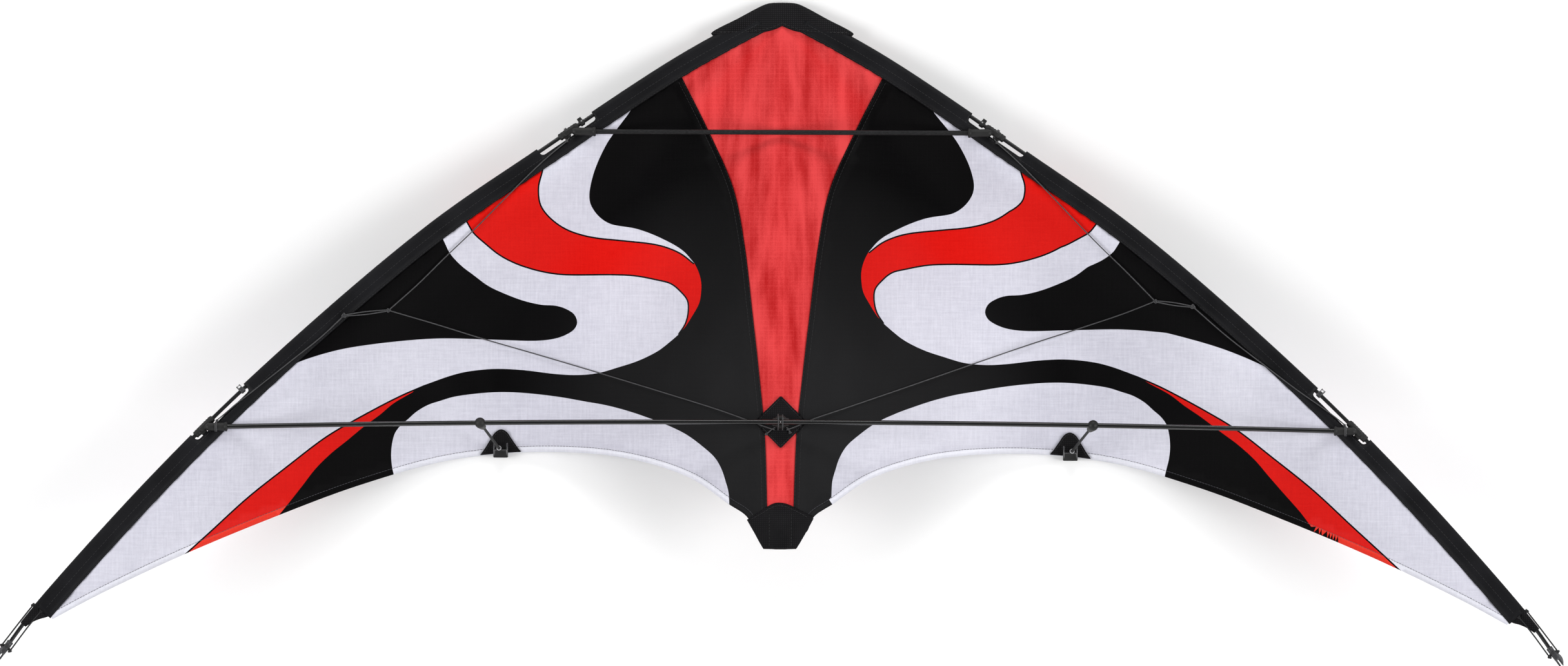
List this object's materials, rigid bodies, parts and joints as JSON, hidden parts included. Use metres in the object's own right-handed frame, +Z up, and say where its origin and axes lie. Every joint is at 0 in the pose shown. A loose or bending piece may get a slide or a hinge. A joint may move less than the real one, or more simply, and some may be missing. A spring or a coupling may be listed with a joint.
{
  "type": "dual-line sport kite",
  "caption": "Swept delta sport kite with a sagging printed sail, curved leading edges, spreader rods, standoffs and a slack bridle.",
  "frame": {"origin": "centre of the footprint, on the surface that the kite lies on", "axes": "+X along the span towards the right wing, +Y towards the nose, +Z up and out of the front of the sail; the kite lies on its back"},
  "size_m": [1.5996, 0.6768, 0.1593],
  "materials": {
    "carbon": "glossy black fibreglass or carbon rod",
    "matte_rod": "matt black pultruded rod with a fine speckle",
    "rubber": "moulded black rubber with a fine texture",
    "clear_plastic": "smoky clear moulded plastic",
    "ferrule": "plain drawn metal",
    "sleeve": "black woven polyester with a satin sheen",
    "webbing": "coarse black nylon webbing with stitched edges",
    "red_sail": "red ripstop sailcloth",
    "printed_sail": "ripstop sailcloth with white, red and black fields",
    "line": "thin dark braided line"
  },
  "bodies": {
    "kite": {"centre_panel": "red_sail", "nose_patch": "webbing", "tail_patch": "webbing", "diamond_patch": "webbing", "spine": "carbon", "centre_t": "rubber", "upper_spreader": "matte_rod", "lower_spreader_ferrule": "ferrule", "leading_edge_rod_upper_left": "carbon", "leading_edge_rod_lower_left": "carbon", "leading_edge_ferrule_left": "ferrule", "leading_edge_sleeve_left": "sleeve", "wing_panel_left": "printed_sail", "upper_edge_fitting_left": "rubber", "lower_edge_fitting_left": "rubber", "nock_left": "clear_plastic", "lower_spreader_left": "carbon", "standoff_patch_left": "webbing", "bridle_upper_leg_left": "line", "bridle_inner_leg_left": "line", "bridle_outer_leg_left": "line", "tow_loop_front_left": "line", "tow_loop_back_left": "line", "bridle_knot_left": "line", "tow_knot_left": "line", "tip_bungee_inner_left": "line", "tip_bungee_outer_left": "line", "leading_edge_rod_upper_right": "carbon", "leading_edge_rod_lower_right": "carbon", "leading_edge_ferrule_right": "ferrule", "leading_edge_sleeve_right": "sleeve", "wing_panel_right": "printed_sail", "upper_edge_fitting_right": "rubber", "lower_edge_fitting_right": "rubber", "nock_right": "clear_plastic", "lower_spreader_right": "carbon", "standoff_patch_right": "webbing", "bridle_upper_leg_right": "line", "bridle_inner_leg_right": "line", "bridle_outer_leg_right": "line", "tow_loop_front_right": "line", "tow_loop_back_right": "line", "bridle_knot_right": "line", "tow_knot_right": "line", "tip_bungee_inner_right": "line", "tip_bungee_outer_right": "line"},
    "standoff_left": {"standoff_ball_left": "rubber", "standoff_rod_left": "carbon", "standoff_foot_left": "clear_plastic"},
    "lower_stopper_left": {"lower_stopper_left": "clear_plastic"},
    "upper_stopper_left": {"upper_stopper_left": "rubber"},
    "standoff_right": {"standoff_ball_right": "rubber", "standoff_rod_right": "carbon", "standoff_foot_right": "clear_plastic"},
    "lower_stopper_right": {"lower_stopper_right": "clear_plastic"},
    "upper_stopper_right": {"upper_stopper_right": "rubber"}
  },
  "joints": [
    {"name": "standoff_left_swing", "type": "hinge", "parent": "kite", "child": "standoff_left", "pos_m": [-0.307, -0.09303, 0.11581], "axis": [-0.9998, -0.0132, -0.0118], "range_deg": [0, 290]},
    {"name": "standoff_right_swing", "type": "hinge", "parent": "kite", "child": "standoff_right", "pos_m": [0.319, -0.09319, 0.11566], "axis": [-0.9998, 0.0137, 0.0123], "range_deg": [0, 290]},
    {"name": "lower_stopper_left_slide", "type": "slide", "parent": "kite", "child": "lower_stopper_left", "axis": [-0.7113, -0.6868, 0.1497], "range_m": [0, 0.025]},
    {"name": "upper_stopper_left_slide", "type": "slide", "parent": "kite", "child": "upper_stopper_left", "axis": [0.8179, 0.5622, -0.1226], "range_m": [0, 0.009]},
    {"name": "lower_stopper_right_slide", "type": "slide", "parent": "kite", "child": "lower_stopper_right", "axis": [0.7113, -0.6868, 0.1497], "range_m": [0, 0.025]},
    {"name": "upper_stopper_right_slide", "type": "slide", "parent": "kite", "child": "upper_stopper_right", "axis": [-0.8179, 0.5622, -0.1226], "range_m": [0, 0.009]}
  ]
}
